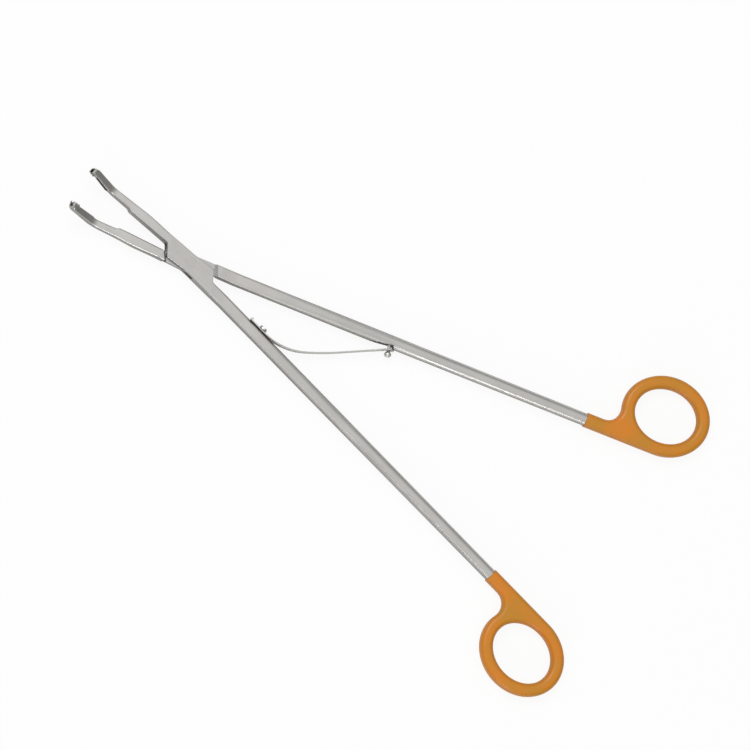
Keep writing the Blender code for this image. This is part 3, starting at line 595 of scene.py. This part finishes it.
def paintShadeInHollows(piece, tongue):
    # painted shade where shade falls in the hollows: in the clip channel, at the foot of the jaw's shoulder,
    # on the pocket's floor and on the spring's seat
    points = np.empty(len(piece.data.vertices) * 3)
    piece.data.vertices.foreach_get("co", points)
    points = points.reshape(-1, 3)
    x, y, z = points.T
    toLocal = np.array((pocketFrame() if tongue else alongShank(spring["start"], 0.0)).inverted())
    along, _, level = (points @ toLocal[:3, :3].T + toLocal[:3, 3]).T
    if tongue:
        off = x + lock["shoulder"] - lock["jawSlant"] * y
        inner = (np.abs(z - midHeight) < lock["halfThickness"] - shadeReach["footRim"]) & (x < 0)
        dark = inner & (off > shadeReach["footStart"]) & (off < lock["hollowShade"] + shadeReach["footPast"])
        inPocket = (along > shadeReach["pocketStart"]) & (along < pocket["length"] + shadeReach["touch"])
        dark |= inPocket & (np.abs(level) < shadeReach["touch"])
    else:
        start, end = -spring["flatMargin"], spring["flatLength"] - spring["flatMargin"]
        dark = (along > start - shadeReach["seatPast"]) & (along < end + shadeReach["seatPast"])
        dark &= level > seatLevel - shadeReach["seatDepth"]
    height = (z - np.interp(-x, pathReach, pathHeight)) * np.cos(np.interp(-x, pathReach, pathRise))
    depth = jaw["land"] + jaw["channelDepth"]
    inChannel = (x < -jaw["bend"]) & (np.abs(height) < jaw["channelWidth"] / 2 + shadeReach["touch"])
    dark |= inChannel & (y > jaw["land"] + shadeReach["channelStart"]) & (y < depth + shadeReach["channelPast"])
    # mask of the painted hollow shade, read by the steel's material
    addAttribute(piece.data, "hollowShade", dark)
    # the squared half of the shank is satin, the round half polished
    fade = [shank["middle"] + past for past in satinFade]
    addAttribute(piece.data, "satin", np.interp(x, [lock["shoulder"], shank["root"], *fade], [0, 1, 1, 0]))


def makeLever(name, tongue, material, body, node, extraCutter):
    piece = skin(name, leverGrid(tongue))
    cutters = list(tongueCutters()) if tongue else [slotCutter()]
    hole = turned("pinHole", [(lock["pinHole"], -4 * midHeight), (lock["pinHole"], 4 * midHeight)], Matrix())
    for cutter in cutters + [hole, channelCutter(), extraCutter]:
        cut(piece, cutter)
    paintShadeInHollows(piece, tongue)
    settle(piece, mirrored=tongue)
    finishPiece(piece, material)
    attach(piece, body)
    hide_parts(node)


# Leaf spring, its screw, the guide stud and the pin

spring = {
    "start": 34.0, "lipHeight": 0.7, "lipRadius": 0.5, "seat": 6.9,
    "flatMargin": 1.0, "flatLength": 13.0, "flatDepth": 0.25,
    "bow": 19.4, "bowDeg": 42.1, "reach": 14.8, "reachDeg": 7.1,
    "end": 19.2, "tab": 6.5, "curl": 3.4, "curlDeg": -34.0,
    "thickness": 0.6, "width": 3.8, "waistWidth": 3.2, "tabWidth": 4.0, "endShare": 0.35, "edge": 0.2,
    "slotWidth": 1.9, "slotBehind": 6.5, "slotAhead": 1.3,
    "lipRows": 1.6, "rows": (2.0, 2.2), "rowSpace": 0.5, "noseRows": 2.0, "noseClose": 1.6,
    "widthSoft": 0.8, "pathSteps": 4000, "slotSteps": 16, "held": 1.5,
}
screw = {
    "place": 40.2, "radius": 0.9, "depth": 3.1, "headRadius": 1.75, "headHeight": 1.1,
    "edge": 0.2, "underEdge": 0.06, "slotWidth": 0.9, "slotDepth": 0.6, "crown": (0.05, 0.02),
}
pocket = {"start": 81.2, "length": 9.6, "angle": math.radians(7.8), "endSlant": math.radians(30)}
stud = {
    "place": 89.6, "neck": 2.6, "root": 0.4, "flare": ((0.0, 0.8), (0.12, 0.66), (0.3, 0.65)),
    "head": ((-0.1, 0.65), (0.3, 1.05), (0.8, 1.42), (1.2, 1.5), (1.7, 1.44), (2.1, 1.1)), "headSoft": 0.14,
    "crown": 2.1, "headHeight": 2.3, "crownFlat": 0.02,
}
pin = {"radius": 2.2, "edge": 0.03}
seatLevel = float(shankRadius(screw["place"])) - spring["flatDepth"]


def springSeat():
    # a flat on the shank's inner side, from before the strip to under its bow
    low = (-spring["flatMargin"], -2 * overrun, seatLevel)
    high = (spring["flatLength"] - spring["flatMargin"], 2 * overrun, seatLevel + overrun)
    return boxCutter("springSeat", alongShank(spring["start"], 0.0), low, high)


def pocketFrame():
    # on the pocket's floor: X along it, Z out of it, towards the spring
    floor = alongShank(pocket["start"], float(shankRadius(pocket["start"])))
    return floor @ Matrix.Rotation(pocket["angle"], 4, "Y")


def pocketCutter():
    # slanted floor with a leaning end wall, cut right across the shank
    slant = overrun * math.tan(pocket["endSlant"])
    outline = [(-overrun, 0), (pocket["length"], 0), (pocket["length"] + slant, overrun), (-overrun, overrun)]
    cutter = prism("pocketCutter", outline, -2 * overrun, 2 * overrun)
    return placed(cutter, pocketFrame() @ Matrix.Rotation(math.pi / 2, 4, "X"))


def studFrame():
    # square to the pocket's floor at the stud
    along = (stud["place"] - pocket["start"]) / math.cos(pocket["angle"])
    return pocketFrame() @ Matrix.Translation((along, 0, 0))


def springPath():
    # runs of (length, turn): heading is the summed turn, and place the summed heading
    runs = [(spring["lipHeight"], 0.0), (spring["lipRadius"] * math.pi / 2, math.pi / 2),
            (spring["seat"], 0.0), (spring["bow"], math.radians(spring["bowDeg"])),
            (spring["reach"], math.radians(spring["reachDeg"])),
            (spring["end"], 0.0), (spring["curl"], math.radians(spring["curlDeg"]))]
    ends, turns = (np.concatenate([[0], np.cumsum(values)]) for values in zip(*runs))
    fine = np.linspace(0, ends[-1], spring["pathSteps"] + 1)
    step = fine[1]
    heading = -shank["angle"] - math.pi / 2 + np.interp(fine, ends, turns)
    level = seatLevel + seatGap + spring["thickness"] / 2 + spring["lipRadius"] + spring["lipHeight"]
    origin = alongShank(spring["start"], level).translation
    middle = (heading[:-1] + heading[1:]) / 2
    x = origin.x + np.concatenate([[0], np.cumsum(np.cos(middle)) * step])
    y = origin.y + np.concatenate([[0], np.cumsum(np.sin(middle)) * step])
    return fine, heading, x, y


def springHalfWidth(travelled, total):
    # plain strip, waisted in the bow, with a wider tab and a round end
    base = spring["seat"] + spring["lipHeight"]
    tabStart = total - spring["curl"] - spring["tab"]
    tabRadius = spring["tabWidth"] / 2
    width = softened(travelled, [
        (base, spring["width"] / 2), (base + spring["bow"], spring["waistWidth"] / 2),
        (tabStart, spring["waistWidth"] / 2), (tabStart + spring["tab"] / 2, tabRadius)], spring["widthSoft"])
    left = np.clip(total - travelled, 0, tabRadius)
    nose = np.sqrt(tabRadius ** 2 - (tabRadius - left) ** 2)
    return np.minimum(width, np.maximum(nose, spring["endShare"] * tabRadius))


def springSlot(fine, heading, x, y):
    # round-ended slot where the stud's axis crosses the strip, with the tongue lever at rest
    mirror = Matrix.Rotation(2 * halfOpening, 4, "Z") @ Matrix.Diagonal((1, -1, 1, 1))
    studRest = mirror @ studFrame()
    base, axis = studRest.translation, studRest.to_3x3() @ Vector((0, 0, 1))
    misses = (x - base.x) * axis.y - (y - base.y) * axis.x
    late = fine > fine[-1] / 2
    spot = np.nonzero(late)[0][np.abs(misses[late]).argmin()]
    half = spring["slotWidth"] / 2
    angles = np.linspace(-math.pi / 2, math.pi / 2, spring["slotSteps"] + 1)
    ahead = np.column_stack([spring["slotAhead"] - half + half * np.cos(angles), half * np.sin(angles)])
    behind = np.column_stack([-spring["slotBehind"] + half - half * np.cos(angles), -half * np.sin(angles)])
    cutter = prism("springSlot", np.concatenate([ahead, behind]), -overrun, overrun)
    stand = Matrix.Translation((x[spot], y[spot], midHeight)) @ Matrix.Rotation(heading[spot], 4, "Z")
    return placed(cutter, stand @ Matrix.Rotation(math.pi / 2, 4, "X"))


def makeSpring():
    # a rounded strip carried along the path, with its rows close together over the lip and the nose
    fine, heading, x, y = springPath()
    total = fine[-1]
    travelled = np.concatenate([
        np.linspace(0, spring["lipRows"], 14),
        np.arange(spring["rows"][0], total - spring["rows"][1], spring["rowSpace"]),
        total - spring["noseRows"] * np.linspace(1, 0, 16) ** spring["noseClose"]])
    flat = np.full(len(travelled), spring["thickness"] / 2)
    edge = np.full(len(travelled), spring["edge"])
    section = roundedSection(-flat, flat, springHalfWidth(travelled, total), edge, 4)
    angle = np.interp(travelled, fine, heading)[:, None]
    grid = np.empty(section.shape[:2] + (3,))
    grid[..., 0] = np.interp(travelled, fine, x)[:, None] - section[..., 0] * np.sin(angle)
    grid[..., 1] = np.interp(travelled, fine, y)[:, None] + section[..., 0] * np.cos(angle)
    grid[..., 2] = midHeight + section[..., 1]
    piece = skin("leafSpring", grid)
    cut(piece, springSlot(fine, heading, x, y))
    settle(piece, mirrored=False)
    finishPiece(piece, steels["springSteel"])
    # the strip bends between the end of its seat and the start of its tab; these two points are found but not
    # used
    turn = Matrix.Scale(mm, 4) @ Matrix.Rotation(-halfOpening, 4, "Z")
    held = np.searchsorted(fine, spring["lipHeight"] + spring["seat"] + spring["held"])
    free = np.searchsorted(fine, total - spring["curl"] - spring["tab"])
    start, end = (turn @ Vector((x[at], y[at], midHeight)) for at in (held, free))
    tuple(start)
    tuple(end)
    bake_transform(piece)
    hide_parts("leaf_spring")


def makeScrew():
    # cheese head with a soft rim and a straight slot
    head = seatLevel + 2 * seatGap + spring["thickness"]
    radius, height, edge, under = (screw[key] for key in ("headRadius", "headHeight", "edge", "underEdge"))
    profile = [(screw["radius"], -screw["depth"]), (screw["radius"], 0.0)]
    profile += [(radius - under, 0.0), (radius, under)]
    profile += [(radius - edge * (1 - math.cos(a)), height - edge * (1 - math.sin(a)))
                for a in np.linspace(0, math.pi / 2, 7)]
    profile += [(screw["crown"][0], height + screw["crown"][1])]
    place = alongShank(screw["place"], head)
    piece = turned("springScrew", profile, place, 64)
    low = (-screw["slotWidth"] / 2, -overrun, height - screw["slotDepth"])
    high = (screw["slotWidth"] / 2, overrun, height + overrun)
    cut(piece, boxCutter("screwSlot", place, low, high))
    settle(piece, mirrored=False)
    finishPiece(piece, steels["screwSteel"])
    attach(piece, "box_lever_body")
    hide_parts("spring_screw")


def makeStud():
    # neck with a flare up to a low pear-shaped head
    neck, crown = stud["neck"], stud["crown"]
    keys = [*stud["flare"], *((neck + height, radius) for height, radius in stud["head"])]
    height = np.concatenate([
        np.linspace(-stud["root"], neck - 0.2, 20), np.linspace(neck - 0.1, neck + crown, 30)])
    radius = softened(height, keys, stud["headSoft"])
    cap = stud["headHeight"] - crown
    profile = list(zip(radius, height))
    profile += [(radius[-1] * math.cos(a) + stud["crownFlat"], neck + crown + cap * math.sin(a))
                for a in np.linspace(0, math.pi / 2, 8)[1:]]
    piece = turned("guideStud", profile, studFrame())
    settle(piece, mirrored=True)
    finishPiece(piece, steels["screwSteel"], 50)
    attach(piece, "tongue_lever_body")
    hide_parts("guide_stud")


def makePin():
    # flush with both sides of the lock, with a fine chamfer
    radius, edge, height = pin["radius"], pin["edge"], 2 * midHeight
    profile = [(radius - edge, 0.0), (radius, edge), (radius, height - edge), (radius - edge, height)]
    piece = turned("pivotPin", profile, Matrix(), 64)
    settle(piece, mirrored=False)
    finishPiece(piece, steels["pinSteel"])
    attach(piece, "box_lever_body")
    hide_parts("pivot_pin")


makeLever("boxLever", False, steels["boxLeverSteel"],
          "box_lever_body", "box_lever", springSeat())
makeLever("tongueLever", True, steels["tongueLeverSteel"],
          "tongue_lever_body", "tongue_lever", pocketCutter())
print("levers made")
makePin()
makeSpring()
makeScrew()
makeStud()
print("spring, screw, stud and pin made")


# Finger ring coats

coat = {
    "start": 176.8, "proud": 0.35, "round": 2.2, "half": 2.8, "lip": 0.14, "lipShade": 1.6,
    "ringPlace": (208.2, 13.6), "twist": math.radians(1.2),
    "holeLong": 13.45, "holeShort": 11.05, "band": 5.43, "fillet": 6.0,
    "ringSteps": 110, "filletSteps": 26, "roundSteps": 10, "neckSteps": 12,
    "sideDeg": (-130, -70, 3001), "filletDeg": (100, 215, 6001), "flatTouch": 0.001,
}


def ellipse(angle, inset):
    # the ring's outer ellipse drawn in by inset, and its outward normals, in the shank's frame
    long, short = (coat[key] + coat["band"] - inset for key in ("holeLong", "holeShort"))
    sine, cosine = math.sin(coat["twist"]), math.cos(coat["twist"])
    turn = np.array([[cosine, sine], [-sine, cosine]])
    place = np.column_stack([long * np.cos(angle), short * np.sin(angle)]) @ turn + coat["ringPlace"]
    normal = np.column_stack([short * np.cos(angle), long * np.sin(angle)])
    return place, normal / np.linalg.norm(normal, axis=1)[:, None] @ turn


def crossing(angle, value):
    # where a sampled value first changes sign
    spot = np.nonzero(np.diff(np.sign(value)))[0][0]
    return angle[spot] - value[spot] * (angle[spot + 1] - angle[spot]) / (value[spot + 1] - value[spot])


def handleOutline(inset):
    # straight side, ring, fillet and neck, drawn in by inset; the same count of points for every inset
    halfNeck = shank["endRadius"] + coat["proud"] - inset
    fillet = coat["fillet"] + inset
    side = np.radians(np.linspace(*coat["sideDeg"]))
    place, normal = ellipse(side, inset)
    sideAngle = crossing(side, np.sum(((coat["start"], -halfNeck) - place) * normal, axis=1))
    upper = np.radians(np.linspace(*coat["filletDeg"]))
    place, normal = ellipse(upper, inset)
    filletAngle = crossing(upper, (place + fillet * normal)[:, 1] - halfNeck - fillet)
    ringPoints, _ = ellipse(np.linspace(sideAngle, filletAngle, coat["ringSteps"] + 1), inset)
    place, normal = ellipse(np.array([filletAngle]), inset)
    centre = (place + fillet * normal)[0]
    first = math.atan2(-normal[0, 1], -normal[0, 0])
    arc = np.linspace(first, -math.pi / 2, coat["filletSteps"] + 1)[1:]
    arcPoints = centre + fillet * np.column_stack([np.cos(arc), np.sin(arc)])
    share = np.linspace(0, 1, coat["neckSteps"] + 1)[:-1, None]
    lipPlace = coat["start"] + coat["lip"]
    lower = (lipPlace, -halfNeck) * (1 - share) + ringPoints[0] * share
    upperNeck = arcPoints[-1] * (1 - share[1:]) + (lipPlace, halfNeck) * share[1:]
    return np.concatenate([lower, ringPoints, arcPoints, upperNeck, [(lipPlace, halfNeck)]])


def makeCoat(name, mirrored, body, node):
    # walls: the outline drawn in along a quarter round at the top and the bottom; then flat faces close them
    quarter = np.linspace(0, math.pi / 2, coat["roundSteps"] + 1)
    insets = coat["round"] * (1 - np.cos(quarter))
    heights = coat["half"] - coat["round"] * (1 - np.sin(quarter))
    insets = np.concatenate([insets[::-1], insets])
    heights = np.concatenate([-heights[::-1], heights])
    angle = np.linspace(0, 2 * math.pi, coat["ringSteps"], endpoint=False)
    outer, hole = [], []
    for inset, height in zip(insets, heights):
        outer.append(np.insert(handleOutline(inset), 2, height, axis=1))
        hole.append(np.insert(ellipse(angle, coat["band"] - inset)[0], 2, height, axis=1))
    outer, hole = np.stack(outer, axis=1), np.stack(hole, axis=1)
    lipShare = 1 - coat["lip"] / coat["half"]
    lips = [outer[at] * (0, lipShare, lipShare) + (coat["start"], 0, 0) for at in (0, -1)]
    outer = np.concatenate([lips[:1], outer, lips[1:]])
    columns, rows = outer.shape[:2]

    column, row = np.meshgrid(np.arange(columns - 1), np.arange(rows - 1), indexing="ij")
    near, far = column * rows + row, (column + 1) * rows + row
    faces = np.stack([near, far, far + 1, near + 1], axis=-1).reshape(-1, 4).tolist()
    column, row = np.meshgrid(np.arange(len(angle)), np.arange(rows - 1), indexing="ij")
    near, far = column * rows + row, (column + 1) % len(angle) * rows + row
    faces += (columns * rows + np.stack([near, near + 1, far + 1, far], axis=-1).reshape(-1, 4)).tolist()
    last = (columns - 1) * rows
    faces.append(list(range(rows)) + list(range(last, last + rows))[::-1])
    faces += [[level, rows + level, last - rows + level, last + level] for level in (0, rows - 1)]
    piece = newPiece(name, np.concatenate([outer.reshape(-1, 3), hole.reshape(-1, 3)]), faces)
    # painted shade: the coat is browner on the walls, and most at the neck's lip
    wallShade = np.tile(np.cos(np.linspace(-1, 1, rows) * math.pi / 2) ** 2, (columns + len(angle), 1))
    wallShade[[0, columns - 1]] = coat["lipShade"]
    addAttribute(piece.data, "wallShade", wallShade.ravel())

    shape = bmesh.new()
    shape.from_mesh(piece.data)
    for level in (-coat["half"], coat["half"]):
        border = [edge for edge in shape.edges if edge.is_boundary
                  and all(abs(corner.co.z - level) < coat["flatTouch"] for corner in edge.verts)]
        bmesh.ops.triangle_fill(shape, edges=border, use_beauty=True)
    bmesh.ops.recalc_face_normals(shape, faces=shape.faces)
    shape.to_mesh(piece.data)
    shape.free()
    # the drawing's Y points outwards, to the ring, which is down the shank's own Y
    stand = Matrix.Translation((0, -shank["offset"], midHeight)) @ Matrix.Diagonal((1, -1, 1, 1))
    placed(piece, Matrix.Rotation(-shank["angle"], 4, "Z") @ stand)
    settle(piece, mirrored)
    finishPiece(piece, orangeCoat, 45)
    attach(piece, body)
    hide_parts(node)


makeCoat("boxRingCoat", False, "box_lever_body", "box_lever_ring_coat")
makeCoat("tongueRingCoat", True, "tongue_lever_body", "tongue_lever_ring_coat")
print("finger ring coats made")


# Studio and camera

studio = {
    "floorSize": 8.0, "floorDrop": 0.00003, "floorWhite": 0.95, "floorGlow": 0.9, "glossyGlow": 0.2,
    "skyLevel": (0.3, 1.06), "skySpan": (0.1, 0.85),
    "cardPlace": (0.80, 0.24, 0.55), "cardEdge": (0.80, 0.96), "cardDark": 0.53,
}
view = {
    "right": (0.8197, 0.5090, 0.2626), "up": (-0.5492, 0.8286, 0.1084), "back": (-0.1624, -0.2331, 0.9588),
    "metresPerPixel": 0.000405, "pivotPixel": (189.1, 263.9), "imageSize": 750,
    "distance": 6.0, "sensorWidth": 36.0, "near": 0.1, "far": 20.0,
}


def makeFloor():
    # lit paper that glows for the camera, and a little in reflections
    half = studio["floorSize"] / 2
    corners = [(x * half, y * half, -studio["floorDrop"]) for x, y in ((-1, -1), (1, -1), (1, 1), (-1, 1))]
    floor = newPiece("studioFloor", corners, [(0, 1, 2, 3)])
    material = bpy.data.materials.new("paleFloor")
    material.use_nodes = True
    tree = material.node_tree
    tree.nodes.clear()
    paper = addNode(tree, "ShaderNodeBsdfDiffuse", (0, 200))
    paper.inputs["Color"].default_value = (studio["floorWhite"],) * 3 + (1,)
    glow = addNode(tree, "ShaderNodeEmission", (0, 0))
    path = addNode(tree, "ShaderNodeLightPath", (-600, 0)).outputs
    shiny = figured(tree, "MAXIMUM", (-400, -100), path["Is Glossy Ray"], path["Is Transmission Ray"])
    part = figured(tree, "MULTIPLY", (-350, -250), shiny, studio["glossyGlow"])
    seen = figured(tree, "MULTIPLY_ADD", (-300, 0), path["Is Camera Ray"], studio["floorGlow"], part)
    mix = mixedShader(tree, (200, 100), seen, paper.outputs[0], glow.outputs[0])
    feed(tree, addNode(tree, "ShaderNodeOutputMaterial", (400, 100)).inputs["Surface"], mix)
    floor.data.materials.append(material)


def makeWorld():
    # a white tent, bright overhead and darker towards the horizon; even where the camera sees past the floor
    world = bpy.data.worlds.new("studio")
    bpy.context.scene.world = world
    world.use_nodes = True
    tree = world.node_tree
    tree.nodes.clear()
    where = addNode(tree, "ShaderNodeTexCoord", (-900, 0)).outputs["Generated"]
    parts = addNode(tree, "ShaderNodeSeparateXYZ", (-700, 0))
    feed(tree, parts.inputs["Vector"], where)
    level = ranged(tree, parts.outputs["Z"], (-500, 0), *studio["skyLevel"], *studio["skySpan"])
    # a dark card beyond the rings, for the raised tips and their bends to show
    toward = addNode(tree, "ShaderNodeVectorMath", (-700, -250), operation="DOT_PRODUCT")
    feed(tree, toward.inputs[0], where)
    feed(tree, toward.inputs[1], Vector(studio["cardPlace"]).normalized())
    card = ranged(tree, toward.outputs["Value"], (-500, -250), 1.0, studio["cardDark"], *studio["cardEdge"])
    tent = addNode(tree, "ShaderNodeBackground", (0, 100))
    feed(tree, tent.inputs["Strength"], figured(tree, "MULTIPLY", (-250, 0), level, card))
    plain = addNode(tree, "ShaderNodeBackground", (0, -100))
    path = addNode(tree, "ShaderNodeLightPath", (-200, 300)).outputs
    mix = mixedShader(tree, (250, 0), path["Is Camera Ray"], tent.outputs[0], plain.outputs[0])
    feed(tree, addNode(tree, "ShaderNodeOutputWorld", (450, 0)).inputs["Surface"], mix)


lamps = {
    "key": {"place": (-0.9, 0.5, 1.5), "aim": (0.08, 0, 0), "size": 0.8, "watts": 10.0},
    "fill": {"place": (0.5, -1.5, 0.45), "aim": (0.08, 0, 0), "size": 0.6, "watts": 5.5},
}


def makeLamps():
    for name, values in lamps.items():
        light = bpy.data.lights.new(name, "AREA")
        light.size = values["size"]
        light.energy = values["watts"]
        lamp = bpy.data.objects.new(name, light)
        bpy.context.scene.collection.objects.link(lamp)
        lamp.location = values["place"]
        aim = Vector(values["aim"]) - Vector(values["place"])
        lamp.rotation_euler = aim.to_track_quat("-Z", "Y").to_euler()


def makeCamera():
    data = bpy.data.cameras.new("camera")
    camera = bpy.data.objects.new("camera", data)
    bpy.context.scene.collection.objects.link(camera)
    bpy.context.scene.camera = camera
    right, up, back = (Vector(view[key]).normalized() for key in ("right", "up", "back"))
    middle = view["imageSize"] / 2
    across, down = ((middle - pixel) * view["metresPerPixel"] for pixel in view["pivotPixel"])
    centre = Vector((0, 0, midHeight * mm)) + across * right - down * up
    data.sensor_width = view["sensorWidth"]
    data.lens = data.sensor_width * view["distance"] / (view["imageSize"] * view["metresPerPixel"])
    data.clip_start = view["near"]
    data.clip_end = view["far"]
    turn = Matrix((right, up, back)).transposed().to_4x4()
    camera.matrix_world = Matrix.Translation(centre + view["distance"] * back) @ turn


makeFloor()
makeWorld()
makeLamps()
makeCamera()
bpy.context.scene.view_settings.view_transform = "Standard"
print("studio and camera made")
